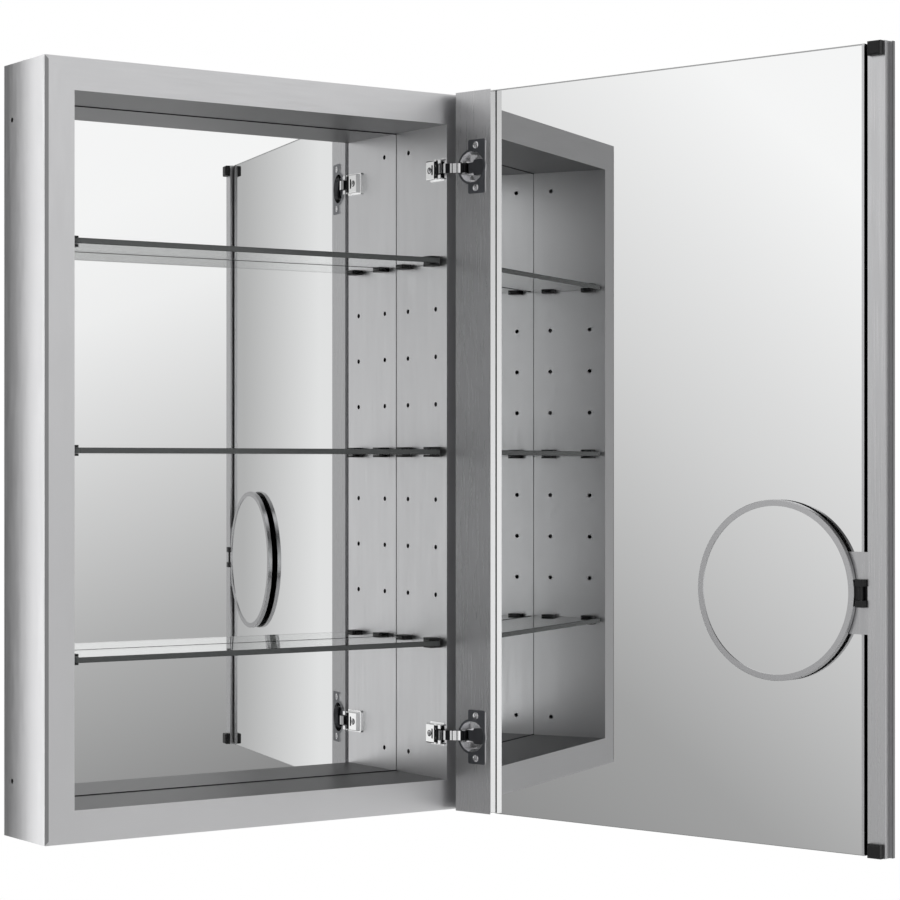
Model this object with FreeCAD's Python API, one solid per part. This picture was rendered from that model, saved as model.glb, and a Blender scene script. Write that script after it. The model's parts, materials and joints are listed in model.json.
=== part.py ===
"""Recessed bathroom mirror cabinet: hollow aluminium frame, three glass shelves on clips,
a mirrored door on two concealed hinges, and a round magnifying mirror that slides on the
door's edge rail.

Frame: origin at the centre of the face that lies on the wall, +Z up, the door side faces -Y.
The door is drawn closed, where its sizes are easy to read, and is then turned to its fully
open pose, which is the rest pose of the assembly.
"""
import FreeCAD
import Part
import math
import os

Vector = FreeCAD.Vector

# ---------------------------------------------------------------- driving dimensions (mm, degrees)
# Cabinet body
BODY_W = 508.0          # outer width
BODY_H = 762.0          # outer height
SIDE_D = 88.9           # depth of the outer sides, front plane to their rear edge
WALL_T = 32.0           # width of each hollow frame wall
SKIN_T = 1.8            # thickness of the extruded skins
EDGE_BEVEL_W = 4.1      # shallow bevel along the two upright outer front edges
EDGE_BEVEL_D = 0.6      # how deep it is at the outer face
MIRROR_SETBACK = 94.7   # front plane to the back mirror's face
BACK_GLASS_T = 3.0
BACK_GLASS_LAP = 14.0   # how far the back mirror reaches past the opening
PAN_T = 1.2             # sheet thickness of the back pan
PAN_INSET = 6.0         # pan edge inside the outer sides
KEY_LEG = 42.0          # leg length of a corner key
KEY_D = 22.0            # depth of a corner key
KEY_CLEAR = 0.2

# Shelf-pin holes and wall-screw holes
PIN_HOLE_R = 2.5
PIN_FRONT = 20.4        # front plane to the front hole column
PIN_REAR = 72.4         # front plane to the rear hole column
PIN_PITCH = 51.0
PIN_ROWS = 4            # rows above and below the middle row
STUD_HOLE_R = 2.5
STUD_FROM_END = 55.3    # top or bottom face to the nearer wall-screw holes
STUD_SETBACK = 71.4     # front plane to the wall-screw holes

# Shelves and their clips
SHELF_ROWS = {"upper": 4, "middle": 0, "lower": -4}
SHELF_T = 5.6
SHELF_FRONT = 3.5       # front plane to a shelf's front edge
SHELF_REAR_GAP = 2.4    # shelf's rear edge to the back mirror
SHELF_CORNER_R = 8.0
SHELF_EDGE_ROUND = 0.8
CLIP_W = 16.0           # along the depth
CLIP_REACH = 12.0       # inward from the wall
CLIP_PAD_T = 2.4        # pad above and below the glass
CLIP_SPINE = 2.0
CLIP_CLEAR = 0.15       # clip to glass
CLIP_PEG_CLEAR = 0.05
CLIP_PEG_L = 9.0
CLIP_CORNER_R = 3.0

# Door, thicknesses from the front mirror's face inwards
DOOR_GAP = 2.0          # closed door to the frame's front plane
DOOR_OPEN = 105.0       # full opening of the hinges
FRONT_GLASS_T = 3.5
CORE_T = 4.5
INNER_GLASS_T = 3.0
STILE_RISE = 9.4        # hinge stile's face above the inner mirror
STILE_W = 47.0
STILE_SKIN = 1.5
PULL_LIP_W = 3.2        # finger lip past the raised box
PULL_LIP_DROP = 3.4     # lip's face below the inner mirror's face
LIP_PAST_GLASS = 2.0    # finger lip past the front mirror's edge

# Slide rail along the door's free edge
RAIL_RISE = 4.9         # raised face above the inner mirror
RAIL_W = 18.4           # raised box
RAIL_PAST_SIDE = 2.0    # raised box past the cabinet's side
RAIL_SKIN = 1.5
GROOVE_W = 6.1
STRIP_LAP = 1.1         # edge strip over the inner mirror
STRIP_T = 0.8
GROOVE_MOUTH_DROP = 2.2 # underside of the raised box's inner wall, below the mirror's face
BUMPER_H = 13.4
BUMPER_W = 14.0
BUMPER_CLEAR = 0.3      # bumper to the frame when the door is closed
BUMPER_PEG_R = 2.0
BUMPER_ROUND = 2.0

# Hinges: the pivot places hold in the closed pose
HINGE_FROM_END = 80.0   # top or bottom face to the nearer hinge's middle
HINGE_ARM_W = 10.0
HINGE_ARM_T = 2.2
BASE_PIVOT_IN = 5.0     # base pivot, from the inner wall's face
BASE_PIVOT_BACK = 8.5   # base pivot, behind the front plane
CUP_PIVOT_U = 9.0       # cup pivot, from the door's hinge edge
CUP_R = 17.5
CUP_CENTRE_U = 22.2
CUP_DEPTH = 10.5
CUP_WALL = 1.2
WING_T = 1.0
WING_H = 57.0
WING_FROM_U = 17.6
WING_TO_U = 40.2
CUP_SCREW_U = 27.9
CUP_SCREW_SPACING = 45.0
CUP_SCREW_HEAD_R = 3.6
CUP_SCREW_HEAD_T = 1.6
CUP_SCREW_PROUD = 0.3
CUP_SCREW_R = 1.7
OPEN_CORNER_X = 28.8    # open door's inner hinge corner, inside the cabinet's side
OPEN_CORNER_Y = 11.8    # open door's inner hinge corner, in front of the front plane
PLATE_T = 1.8           # hinge mounting plate
PLATE_W = 24.0
PLATE_L = 26.0
PLATE_FRONT = 2.0
HOUSING_W = 21.0
HOUSING_RISE = 8.0      # hinge housing above the inner wall
HOUSING_SKIN = 1.4
HOUSING_ROOF_FROM = 12.5
HOUSING_TO = 27.0
BASE_PIN_R = 1.25
BASE_KNUCKLE_R = 2.6
CUP_PIN_R = 1.0
CUP_KNUCKLE_R = 2.2
PIN_CLEAR = 0.05        # running clearance of each hinge pin
SIDE_CLEAR = 0.2        # between knuckles and cheeks
ARM_TO_RIM = 0.9        # open arm's underside to the relief in the cup's rim
PLATE_SCREW_OFFSET = 6.0
PLATE_SCREW_HEAD_R = 2.8
DAMPER_TOP = 5.4        # damper cover below the stile's face
CAM_SCREW_R = 3.4

# Magnifying mirror
MAG_Z = -134.5          # height of its centre at rest
MAG_R = 87.0
MAG_TO_PIN = 6.3        # rim to the swing pin's axis
MAG_FRAME_W = 6.0
MAG_BACK_FROM = 3.6     # back shell above the inner mirror
MAG_BACK_T = 2.2
MAG_RING_T = 2.6
MAG_SKIRT_T = 1.2       # ring's skirt around the back shell
MAG_SKIRT_CLEAR = 0.1
MAG_GLASS_T = 1.8
MAG_GLASS_CLEAR = 0.2
CARRIER_H = 77.3        # slider plate
CARRIER_W = 22.4
CARRIER_FROM = 1.2      # plate above the inner mirror
CARRIER_T = 1.6
GLIDE_H = 60.0
GLIDE_CLEAR = 0.3
BLOCK_H = 26.3
BLOCK_CHEEK = 6.5
SWING_PIN_R = 1.0
SWING_KNUCKLE_R = 2.6
SWING_PIN_RISE = 6.5    # pivot above the inner mirror
SWING_PIN_BACK = 6.3    # pivot from the rail's raised box

# ---------------------------------------------------------------- derived places
BODY_D = MIRROR_SETBACK + BACK_GLASS_T + PAN_T
FRONT_Y = -BODY_D
SIDE_REAR_Y = FRONT_Y + SIDE_D
BACK_MIRROR_Y = FRONT_Y + MIRROR_SETBACK
HALF_W = BODY_W / 2
HALF_H = BODY_H / 2
OPEN_HALF_W = HALF_W - WALL_T
OPEN_HALF_H = HALF_H - WALL_T
RAIL_TO_U = BODY_W + RAIL_PAST_SIDE
DOOR_W = RAIL_TO_U + PULL_LIP_W
RAIL_FROM_U = RAIL_TO_U - RAIL_W
GROOVE_FROM_U = RAIL_FROM_U - GROOVE_W
PANEL_END_U = GROOVE_FROM_U - RAIL_SKIN
STILE_FACE_Y = FRONT_Y - DOOR_GAP
INNER_MIRROR_Y = STILE_FACE_Y - STILE_RISE
CORE_V = -(INNER_GLASS_T + CORE_T)
SHELF_Z = {name: row * PIN_PITCH for name, row in SHELF_ROWS.items()}
HINGE_Z = HALF_H - HINGE_FROM_END
HINGE_HEIGHTS = {"upper": HINGE_Z, "lower": -HINGE_Z}
STUD_HOLE_Z = HALF_H - STUD_FROM_END
SWING_PIN_U = RAIL_FROM_U - SWING_PIN_BACK
MAG_CENTRE_U = SWING_PIN_U - MAG_TO_PIN - MAG_R

CLOSED_CORNER = Vector(HALF_W, STILE_FACE_Y, 0)
OPEN_CORNER = Vector(HALF_W - OPEN_CORNER_X, FRONT_Y - OPEN_CORNER_Y, 0)
BASE_PIVOT = Vector(OPEN_HALF_W - BASE_PIVOT_IN, FRONT_Y + BASE_PIVOT_BACK, 0)


def turned(vector, degrees):
    return FreeCAD.Rotation(Vector(0, 0, 1), degrees).multVec(vector)


def opened_point(point):
    """Where a point of the closed door lies when the door is fully open."""
    return OPEN_CORNER + turned(point - CLOSED_CORNER, DOOR_OPEN)


def cup_pivot_depth():
    """Depth of the cup pivot below the stile's face, so that one rigid arm reaches it in the
    closed pose and in the open pose."""
    def mismatch(depth):
        closed = Vector(HALF_W - CUP_PIVOT_U, STILE_FACE_Y - depth, 0)
        return (closed - BASE_PIVOT).Length - (opened_point(closed) - BASE_PIVOT).Length
    low = 0.0
    high = CUP_DEPTH
    for _ in range(60):
        middle = (low + high) / 2
        if mismatch(low) * mismatch(middle) <= 0:
            high = middle
        else:
            low = middle
    return (low + high) / 2


CUP_PIVOT_DEPTH = cup_pivot_depth()
CUP_PIVOT_CLOSED = Vector(HALF_W - CUP_PIVOT_U, STILE_FACE_Y - CUP_PIVOT_DEPTH, 0)
CUP_PIVOT_OPEN = opened_point(CUP_PIVOT_CLOSED)


def arm_turn():
    """Turn of the hinge arm about its base pivot as the door opens, in degrees."""
    closed = CUP_PIVOT_CLOSED - BASE_PIVOT
    opened = CUP_PIVOT_OPEN - BASE_PIVOT
    return math.degrees(math.atan2(opened.y, opened.x) - math.atan2(closed.y, closed.x))


ARM_TURN = arm_turn()


# ---------------------------------------------------------------- helpers
def block(x0, x1, y0, y1, z0, z1):
    """Box between two corners, given in any order."""
    low = Vector(min(x0, x1), min(y0, y1), min(z0, z1))
    return Part.makeBox(abs(x1 - x0), abs(y1 - y0), abs(z1 - z0), low)


def rod(radius, start, end):
    axis = end - start
    return Part.makeCylinder(radius, axis.Length, start, axis)


def prism(points, z0, z1):
    """Solid from a closed outline in XY."""
    corners = [Vector(x, y, z0) for x, y in points]
    outline = Part.makePolygon(corners + corners[:1])
    return Part.Face(outline).extrude(Vector(0, 0, z1 - z0))


def joined(first, *others):
    return first.fuse(list(others)).removeSplitter()


def edges_along(shape, direction, test):
    """Straight edges parallel to a direction whose middle passes a test."""
    found = []
    for edge in shape.Edges:
        span = edge.Vertexes[-1].Point - edge.Vertexes[0].Point
        if span.Length > 0.01 and span.normalize().cross(direction).Length < 0.001:
            if test(edge.CenterOfMass):
                found.append(edge)
    return found


def at_door(u, v, z):
    """Point of the closed door: u from the hinge edge, v above the inner mirror."""
    return Vector(HALF_W - u, INNER_MIRROR_Y + v, z)


def door_block(u0, u1, v0, v1, z0, z1):
    low = at_door(u0, v0, z0)
    high = at_door(u1, v1, z1)
    return block(low.x, high.x, low.y, high.y, low.z, high.z)


def door_opened(shape):
    """Turn a piece of the closed door to the open rest pose."""
    piece = shape.copy()
    piece.rotate(Vector(0, 0, 0), Vector(0, 0, 1), DOOR_OPEN)
    piece.translate(opened_point(Vector(0, 0, 0)))
    return piece


def arm_opened(shape):
    piece = shape.copy()
    piece.rotate(BASE_PIVOT, Vector(0, 0, 1), ARM_TURN)
    return piece


# ---------------------------------------------------------------- cabinet frame
def bevel_outline():
    """What the bevel takes off an outer front edge along X at z=0: its outline in YZ."""
    beyond = EDGE_BEVEL_D * (1 + 1 / EDGE_BEVEL_W)
    return [(FRONT_Y - 1, -EDGE_BEVEL_W), (FRONT_Y, -EDGE_BEVEL_W), (FRONT_Y + beyond, 1),
            (FRONT_Y - 1, 1)]


def bevel_wedges(half, upright):
    """Wedges of the upright bevels: along an upright's own edge, and across a level wall's
    two ends."""
    if upright:
        corners = [Vector(-half - 1, y, z) for y, z in bevel_outline()]
        outline = Part.Face(Part.makePolygon(corners + corners[:1]))
        return [outline.extrude(Vector(2 * half + 2, 0, 0))]
    wedges = []
    for side in (-1, 1):
        points = [(side * (half + z), y) for y, z in bevel_outline()]
        wedges.append(prism(points, -WALL_T - 1, 1))
    return wedges


def frame_wall(length, upright):
    """Mitred hollow extrusion along X: outer face at z=0, inner face at z=-WALL_T."""
    half = length / 2
    outer = block(-half, half, FRONT_Y, SIDE_REAR_Y, -WALL_T, 0)
    outer = outer.cut(bevel_wedges(half, upright))
    hollow = block(-half, half, FRONT_Y + SKIN_T, SIDE_REAR_Y - SKIN_T, SKIN_T - WALL_T, -SKIN_T)
    flange = block(-half, half, SIDE_REAR_Y, BACK_MIRROR_Y, -WALL_T, SKIN_T - WALL_T)
    section = joined(outer.cut(hollow), flange)
    mitre = [(-half, 0), (half, 0), (half - WALL_T, -WALL_T), (WALL_T - half, -WALL_T)]
    corners = [Vector(x, FRONT_Y, z) for x, z in mitre]
    outline = Part.Face(Part.makePolygon(corners + corners[:1]))
    return section.common(outline.extrude(Vector(0, BODY_D, 0)))


def side_wall(side):
    """Left (side=-1) or right (side=+1) wall with its shelf-pin and wall-screw holes."""
    wall = frame_wall(BODY_H, True)
    wall.rotate(Vector(0, 0, 0), Vector(0, 1, 0), 90 * side)
    wall.translate(Vector(side * HALF_W, 0, 0))
    inner = side * (OPEN_HALF_W - 1)
    behind_skin = side * (OPEN_HALF_W + SKIN_T + 1)
    outside = side * (HALF_W + 1)
    holes = []
    for setback in (PIN_FRONT, PIN_REAR):
        for row in range(-PIN_ROWS, PIN_ROWS + 1):
            y = FRONT_Y + setback
            z = row * PIN_PITCH
            holes.append(rod(PIN_HOLE_R, Vector(inner, y, z), Vector(behind_skin, y, z)))
    for z in (STUD_HOLE_Z, -STUD_HOLE_Z):
        y = FRONT_Y + STUD_SETBACK
        holes.append(rod(STUD_HOLE_R, Vector(inner, y, z), Vector(outside, y, z)))
    if side > 0:
        holes += [plate_screw_hole(z) for z in plate_screw_heights()]
    return wall.cut(holes)


def top_wall():
    wall = frame_wall(BODY_W, False)
    wall.translate(Vector(0, 0, HALF_H))
    return wall


def bottom_wall():
    wall = frame_wall(BODY_W, False)
    wall.rotate(Vector(0, 0, 0), Vector(0, 1, 0), 180)
    wall.translate(Vector(0, 0, -HALF_H))
    return wall


def corner_keys():
    """L-shaped keys that join the mitred walls inside their hollows."""
    inset = SKIN_T + KEY_CLEAR
    thick = WALL_T - 2 * inset
    y0 = FRONT_Y + (SIDE_D - KEY_D) / 2
    keys = []
    for sx in (-1, 1):
        for sz in (-1, 1):
            x = sx * (HALF_W - inset)
            z = sz * (HALF_H - inset)
            flat = block(x, x - sx * KEY_LEG, y0, y0 + KEY_D, z, z - sz * thick)
            upright = block(x, x - sx * thick, y0, y0 + KEY_D, z, z - sz * KEY_LEG)
            keys.append(joined(flat, upright))
    return Part.makeCompound(keys)


def back_mirror():
    half_w = OPEN_HALF_W + BACK_GLASS_LAP
    half_h = OPEN_HALF_H + BACK_GLASS_LAP
    return block(-half_w, half_w, BACK_MIRROR_Y, BACK_MIRROR_Y + BACK_GLASS_T, -half_h, half_h)


def back_pan():
    """Shallow sheet tray behind the back mirror, its rim against the walls' rear faces."""
    half_w = HALF_W - PAN_INSET
    half_h = HALF_H - PAN_INSET
    tray = block(-half_w, half_w, SIDE_REAR_Y, 0, -half_h, half_h)
    inside_w = half_w - PAN_T
    inside_h = half_h - PAN_T
    return tray.cut(block(-inside_w, inside_w, SIDE_REAR_Y, -PAN_T, -inside_h, inside_h))


# ---------------------------------------------------------------- shelves
def glass_shelf(z):
    half = OPEN_HALF_W - CLIP_SPINE - CLIP_CLEAR
    front = FRONT_Y + SHELF_FRONT
    rear = BACK_MIRROR_Y - SHELF_REAR_GAP
    pane = block(-half, half, front, rear, z - SHELF_T / 2, z + SHELF_T / 2)
    corners = edges_along(pane, Vector(0, 0, 1), lambda p: p.y < front + 1)
    pane = pane.makeFillet(SHELF_CORNER_R, corners)
    rims = [edge for edge in pane.Edges if edge.BoundBox.ZLength < 0.01]
    return pane.makeFillet(SHELF_EDGE_ROUND, rims)


def shelf_clips(z):
    """Four U-shaped plastic clips that grip one shelf, each with a peg in its wall hole."""
    clips = []
    half_h = SHELF_T / 2 + CLIP_CLEAR + CLIP_PAD_T
    for side in (-1, 1):
        wall = side * OPEN_HALF_W
        tip = wall - side * CLIP_REACH
        for setback in (PIN_FRONT, PIN_REAR):
            y = FRONT_Y + setback
            body = block(wall, tip, y - CLIP_W / 2, y + CLIP_W / 2, z - half_h, z + half_h)
            tips = edges_along(body, Vector(0, 0, 1), lambda p: abs(p.x - tip) < 1)
            body = body.makeFillet(CLIP_CORNER_R, tips)
            mouth_h = SHELF_T / 2 + CLIP_CLEAR
            mouth_x = wall - side * CLIP_SPINE
            mouth = block(mouth_x, tip - side, y - CLIP_W, y + CLIP_W, z - mouth_h, z + mouth_h)
            peg = rod(PIN_HOLE_R - CLIP_PEG_CLEAR, Vector(wall - side, y, z),
                      Vector(wall + side * CLIP_PEG_L, y, z))
            clips.append(joined(body.cut(mouth), peg))
    return Part.makeCompound(clips)


# ---------------------------------------------------------------- hinges, cabinet side
def plate_screw_heights():
    return [z + sign * PLATE_SCREW_OFFSET for z in HINGE_HEIGHTS.values() for sign in (-1, 1)]


def plate_screw_y():
    return FRONT_Y + PLATE_FRONT + PLATE_L / 2 + 2


def plate_screw_hole(z):
    y = plate_screw_y()
    return rod(CUP_SCREW_R, Vector(OPEN_HALF_W - HOUSING_RISE, y, z),
               Vector(OPEN_HALF_W + SKIN_T + 1, y, z))


def hinge_plate(z):
    """Flat mounting plate screwed to the right wall's inner face."""
    front = FRONT_Y + PLATE_FRONT
    plate = block(OPEN_HALF_W - PLATE_T, OPEN_HALF_W, front, front + PLATE_L,
                  z - PLATE_W / 2, z + PLATE_W / 2)
    corners = edges_along(plate, Vector(1, 0, 0), lambda p: p.y > front + 1)
    plate = plate.makeFillet(2.0, corners)
    holes = [plate_screw_hole(height) for height in plate_screw_heights()]
    return plate.cut(holes)


def plate_screws():
    """Pan-head screws, two per hinge plate, hidden under the housing."""
    screws = []
    face = OPEN_HALF_W - PLATE_T
    y = plate_screw_y()
    for z in plate_screw_heights():
        head = rod(PLATE_SCREW_HEAD_R, Vector(face, y, z), Vector(face - 2.0, y, z))
        shank = rod(CUP_SCREW_R, Vector(face, y, z), Vector(OPEN_HALF_W + 9.0, y, z))
        screws.append(joined(head, shank))
    return Part.makeCompound(screws)


def hinge_housing(z):
    """Channel-shaped housing over the plate; its two cheeks carry the arm's base pin."""
    half = HOUSING_W / 2
    roof_x = OPEN_HALF_W - HOUSING_RISE
    foot_x = OPEN_HALF_W - PLATE_T
    to_y = FRONT_Y + HOUSING_TO
    roof_y = FRONT_Y + HOUSING_ROOF_FROM
    shell = block(roof_x, foot_x, roof_y, to_y, z - half, z + half)
    long_edges = edges_along(shell, Vector(0, 1, 0), lambda p: p.x < roof_x + 1)
    shell = shell.makeFillet(HOUSING_SKIN, long_edges)
    hollow = block(roof_x + HOUSING_SKIN, foot_x, roof_y - 1, to_y - HOUSING_SKIN,
                   z - half + HOUSING_SKIN, z + half - HOUSING_SKIN)
    shell = shell.cut(hollow)
    ear_r = BASE_PIVOT_IN - PLATE_T
    cheeks = []
    for z0, z1 in ((z - half, z - half + HOUSING_SKIN), (z + half - HOUSING_SKIN, z + half)):
        ear = rod(ear_r, Vector(BASE_PIVOT.x, BASE_PIVOT.y, z0),
                  Vector(BASE_PIVOT.x, BASE_PIVOT.y, z1))
        web = block(roof_x + HOUSING_SKIN, foot_x, BASE_PIVOT.y, roof_y + 1, z0, z1)
        cheeks.append(joined(ear, web))
    housing = joined(shell, *cheeks)
    pin_hole = rod(BASE_PIN_R, Vector(BASE_PIVOT.x, BASE_PIVOT.y, z - half - 1),
                   Vector(BASE_PIVOT.x, BASE_PIVOT.y, z + half + 1))
    cam_y = cam_screw_y()
    cam_hole = rod(CAM_SCREW_R + 0.1, Vector(roof_x - 1, cam_y, z), Vector(foot_x, cam_y, z))
    slot_y = FRONT_Y + HOUSING_ROOF_FROM + 3.4
    slot = block(roof_x - 1, roof_x + HOUSING_SKIN + 0.5, slot_y - 1.3, slot_y + 1.3,
                 z - half / 2, z + half / 2)
    return housing.cut([pin_hole, cam_hole, slot])


def cam_screw_y():
    return FRONT_Y + HOUSING_TO - CAM_SCREW_R - 2.6


def cam_screws():
    """Depth-adjusting cams, one per hinge, with a cross-slotted head."""
    screws = []
    y = cam_screw_y()
    head_x = OPEN_HALF_W - HOUSING_RISE - 0.3
    for z in HINGE_HEIGHTS.values():
        cam = rod(CAM_SCREW_R, Vector(head_x, y, z), Vector(OPEN_HALF_W - PLATE_T - 0.3, y, z))
        flat = block(head_x - 1, head_x + 1.2, y + CAM_SCREW_R * 0.6, y + CAM_SCREW_R + 1,
                     z - CAM_SCREW_R, z + CAM_SCREW_R)
        slots = [block(head_x - 1, head_x + 1.2, y - 2, y + 2, z - 0.45, z + 0.45),
                 block(head_x - 1, head_x + 1.2, y - 0.45, y + 0.45, z - 2, z + 2)]
        screws.append(cam.cut([flat] + slots))
    return Part.makeCompound(screws)


def base_pins():
    pins = []
    for z in HINGE_HEIGHTS.values():
        low = Vector(BASE_PIVOT.x, BASE_PIVOT.y, z - HOUSING_W / 2)
        high = Vector(BASE_PIVOT.x, BASE_PIVOT.y, z + HOUSING_W / 2)
        pins.append(rod(BASE_PIN_R, low, high))
    return Part.makeCompound(pins)


# ---------------------------------------------------------------- hinge arms
def arm_path():
    """Middle line of the cranked arm in the closed pose. It leaves the base pivot past the
    wall's front corner and runs inside the cup to the cup pivot."""
    corner = Vector(OPEN_HALF_W, FRONT_Y, 0)
    return [
        BASE_PIVOT,
        corner + Vector(-3.2, -1.2, 0),
        corner + Vector(0.5, -3.5, 0),
        CUP_PIVOT_CLOSED + Vector(-6.0, 0, 0),
        CUP_PIVOT_CLOSED,
    ]


def hinge_arm(z):
    half = HINGE_ARM_W / 2
    base_half = HOUSING_W / 2 - HOUSING_SKIN - SIDE_CLEAR
    path = arm_path()
    pieces = []
    for start, end in zip(path, path[1:]):
        along = (end - start).normalize()
        side = Vector(-along.y, along.x, 0) * (HINGE_ARM_T / 2)
        outline = [start + side, end + side, end - side, start - side]
        pieces.append(prism([(p.x, p.y) for p in outline], z - half, z + half))
    for bend in path[1:-1]:
        pieces.append(rod(HINGE_ARM_T / 2, Vector(bend.x, bend.y, z - half),
                          Vector(bend.x, bend.y, z + half)))
    pieces.append(rod(BASE_KNUCKLE_R, Vector(BASE_PIVOT.x, BASE_PIVOT.y, z - base_half),
                      Vector(BASE_PIVOT.x, BASE_PIVOT.y, z + base_half)))
    cup_pin = CUP_PIVOT_CLOSED
    pieces.append(rod(CUP_KNUCKLE_R, Vector(cup_pin.x, cup_pin.y, z - half),
                      Vector(cup_pin.x, cup_pin.y, z + half)))
    arm = joined(*pieces)
    bores = []
    for pivot, radius in ((BASE_PIVOT, BASE_PIN_R), (cup_pin, CUP_PIN_R)):
        bores.append(rod(radius + PIN_CLEAR, Vector(pivot.x, pivot.y, z - HOUSING_W),
                         Vector(pivot.x, pivot.y, z + HOUSING_W)))
    return arm_opened(arm.cut(bores))


# ---------------------------------------------------------------- hinges, door side
def cup_screw_heights(z):
    return [z + sign * CUP_SCREW_SPACING / 2 for sign in (-1, 1)]


def screw_head(height, clearance):
    """Countersunk head, its rim a little proud of the wing plate."""
    top = STILE_RISE + WING_T + CUP_SCREW_PROUD
    start = at_door(CUP_SCREW_U, top - CUP_SCREW_HEAD_T, height)
    return Part.makeCone(CUP_SCREW_R + clearance, CUP_SCREW_HEAD_R + clearance,
                         CUP_SCREW_HEAD_T, start, Vector(0, 1, 0))


def countersink(height):
    hole = rod(CUP_SCREW_R, at_door(CUP_SCREW_U, 0, height),
               at_door(CUP_SCREW_U, STILE_RISE, height))
    return hole.fuse(screw_head(height, 0.1))


def cup_ear_span():
    inner = HINGE_ARM_W / 2 + SIDE_CLEAR
    return inner, inner + HOUSING_SKIN


def door_place(point):
    """Place (u, v) on the door of a point of the open pose."""
    closed = CLOSED_CORNER + turned(point - OPEN_CORNER, -DOOR_OPEN)
    return HALF_W - closed.x, closed.y - INNER_MIRROR_Y


def arm_underside(u):
    """Height above the inner mirror of the open arm's underside, on its run to the cup pin."""
    ends = [BASE_PIVOT + turned(point - BASE_PIVOT, ARM_TURN) for point in arm_path()[-2:]]
    (u0, v0), (u1, v1) = [door_place(end) for end in ends]
    slope = (v1 - v0) / (u1 - u0)
    return v0 + slope * (u - u0) - HINGE_ARM_T / 2 * math.hypot(1, slope)


def arm_notch(z):
    """Relief at the cup's hinge-side rim, where the arm passes when the door is open."""
    half = HINGE_ARM_W / 2 + SIDE_CLEAR
    floor = arm_underside(CUP_CENTRE_U - CUP_R + CUP_WALL) - ARM_TO_RIM
    return door_block(1.0, CUP_CENTRE_U - CUP_R + 3.0, floor, STILE_RISE + WING_T + 1,
                      z - half, z + half)


def hinge_cup(z):
    """Pressed cup with its wing plate; two ears inside hold the cup pin."""
    v_face = STILE_RISE
    v_floor = STILE_RISE - CUP_DEPTH
    can = rod(CUP_R, at_door(CUP_CENTRE_U, v_floor, z), at_door(CUP_CENTRE_U, v_face, z))
    rim = rod(CUP_R + 1.2, at_door(CUP_CENTRE_U, v_face, z),
              at_door(CUP_CENTRE_U, v_face + WING_T, z))
    wing = door_block(WING_FROM_U, WING_TO_U, v_face, v_face + WING_T,
                      z - WING_H / 2, z + WING_H / 2)
    wing_corners = edges_along(wing, Vector(0, 1, 0), lambda p: True)
    wing = wing.makeFillet(2.0, wing_corners)
    hollow = rod(CUP_R - CUP_WALL, at_door(CUP_CENTRE_U, v_floor + CUP_WALL, z),
                 at_door(CUP_CENTRE_U, v_face + WING_T + 1, z))
    cup = joined(can, rim, wing).cut([hollow, arm_notch(z)])
    near, far = cup_ear_span()
    ears = []
    for z0, z1 in ((z - far, z - near), (z + near, z + far)):
        ears.append(door_block(CUP_PIVOT_U - 1.5, CUP_PIVOT_U + 3.0, v_floor + CUP_WALL / 2,
                               v_face - 1.0, z0, z1))
    cup = joined(cup, *ears)
    screw_holes = [countersink(height) for height in cup_screw_heights(z)]
    return cup.cut(screw_holes + [cup_pin(z)])


def cup_pin(z):
    near, far = cup_ear_span()
    x = CUP_PIVOT_CLOSED.x
    y = CUP_PIVOT_CLOSED.y
    return rod(CUP_PIN_R, Vector(x, y, z - far), Vector(x, y, z + far))


def cup_pins():
    return Part.makeCompound([cup_pin(z) for z in HINGE_HEIGHTS.values()])


def cup_screws():
    """Countersunk screws, two per cup, with a cross recess."""
    screws = []
    top = STILE_RISE + WING_T + CUP_SCREW_PROUD
    for z in HINGE_HEIGHTS.values():
        for height in cup_screw_heights(z):
            shank = rod(CUP_SCREW_R, at_door(CUP_SCREW_U, STILE_RISE - 8, height),
                        at_door(CUP_SCREW_U, top - CUP_SCREW_HEAD_T, height))
            cross = [door_block(CUP_SCREW_U - 1.9, CUP_SCREW_U + 1.9, top - 0.8, top + 1,
                                height - 0.4, height + 0.4),
                     door_block(CUP_SCREW_U - 0.4, CUP_SCREW_U + 0.4, top - 0.8, top + 1,
                                height - 1.9, height + 1.9)]
            screws.append(joined(screw_head(height, 0), shank).cut(cross))
    return Part.makeCompound(screws)


def damper(z):
    """Soft-close damper block at the far side of the cup."""
    v_top = STILE_RISE - DAMPER_TOP
    v_floor = STILE_RISE - CUP_DEPTH + CUP_WALL
    body = door_block(CUP_CENTRE_U + 1.5, CUP_CENTRE_U + 13.0, v_floor, v_top, z - 8.5, z + 8.5)
    upright = edges_along(body, Vector(0, 1, 0), lambda p: True)
    return body.makeFillet(1.5, upright)


# ---------------------------------------------------------------- door panel
def front_mirror():
    return door_block(0, DOOR_W - LIP_PAST_GLASS, CORE_V - FRONT_GLASS_T, CORE_V, -HALF_H, HALF_H)


def door_core():
    return door_block(0, PANEL_END_U, CORE_V, -INNER_GLASS_T, -HALF_H, HALF_H)


def inner_mirror():
    return door_block(STILE_W, PANEL_END_U, -INNER_GLASS_T, 0, -HALF_H, HALF_H)


def hinge_stile():
    """Hollow extrusion down the hinge side, bored for the cups and drilled for their screws."""
    low = -INNER_GLASS_T
    outer = door_block(0, STILE_W, low, STILE_RISE, -HALF_H, HALF_H)
    hollow = door_block(STILE_SKIN, STILE_W - STILE_SKIN, low + STILE_SKIN,
                        STILE_RISE - STILE_SKIN, -HALF_H - 1, HALF_H + 1)
    cuts = [hollow]
    for z in HINGE_HEIGHTS.values():
        cuts.append(rod(CUP_R + 0.1, at_door(CUP_CENTRE_U, STILE_RISE - CUP_DEPTH, z),
                        at_door(CUP_CENTRE_U, STILE_RISE + 1, z)))
        cuts.append(arm_notch(z))
        cuts += [countersink(height) for height in cup_screw_heights(z)]
    return outer.cut(cuts)


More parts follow.
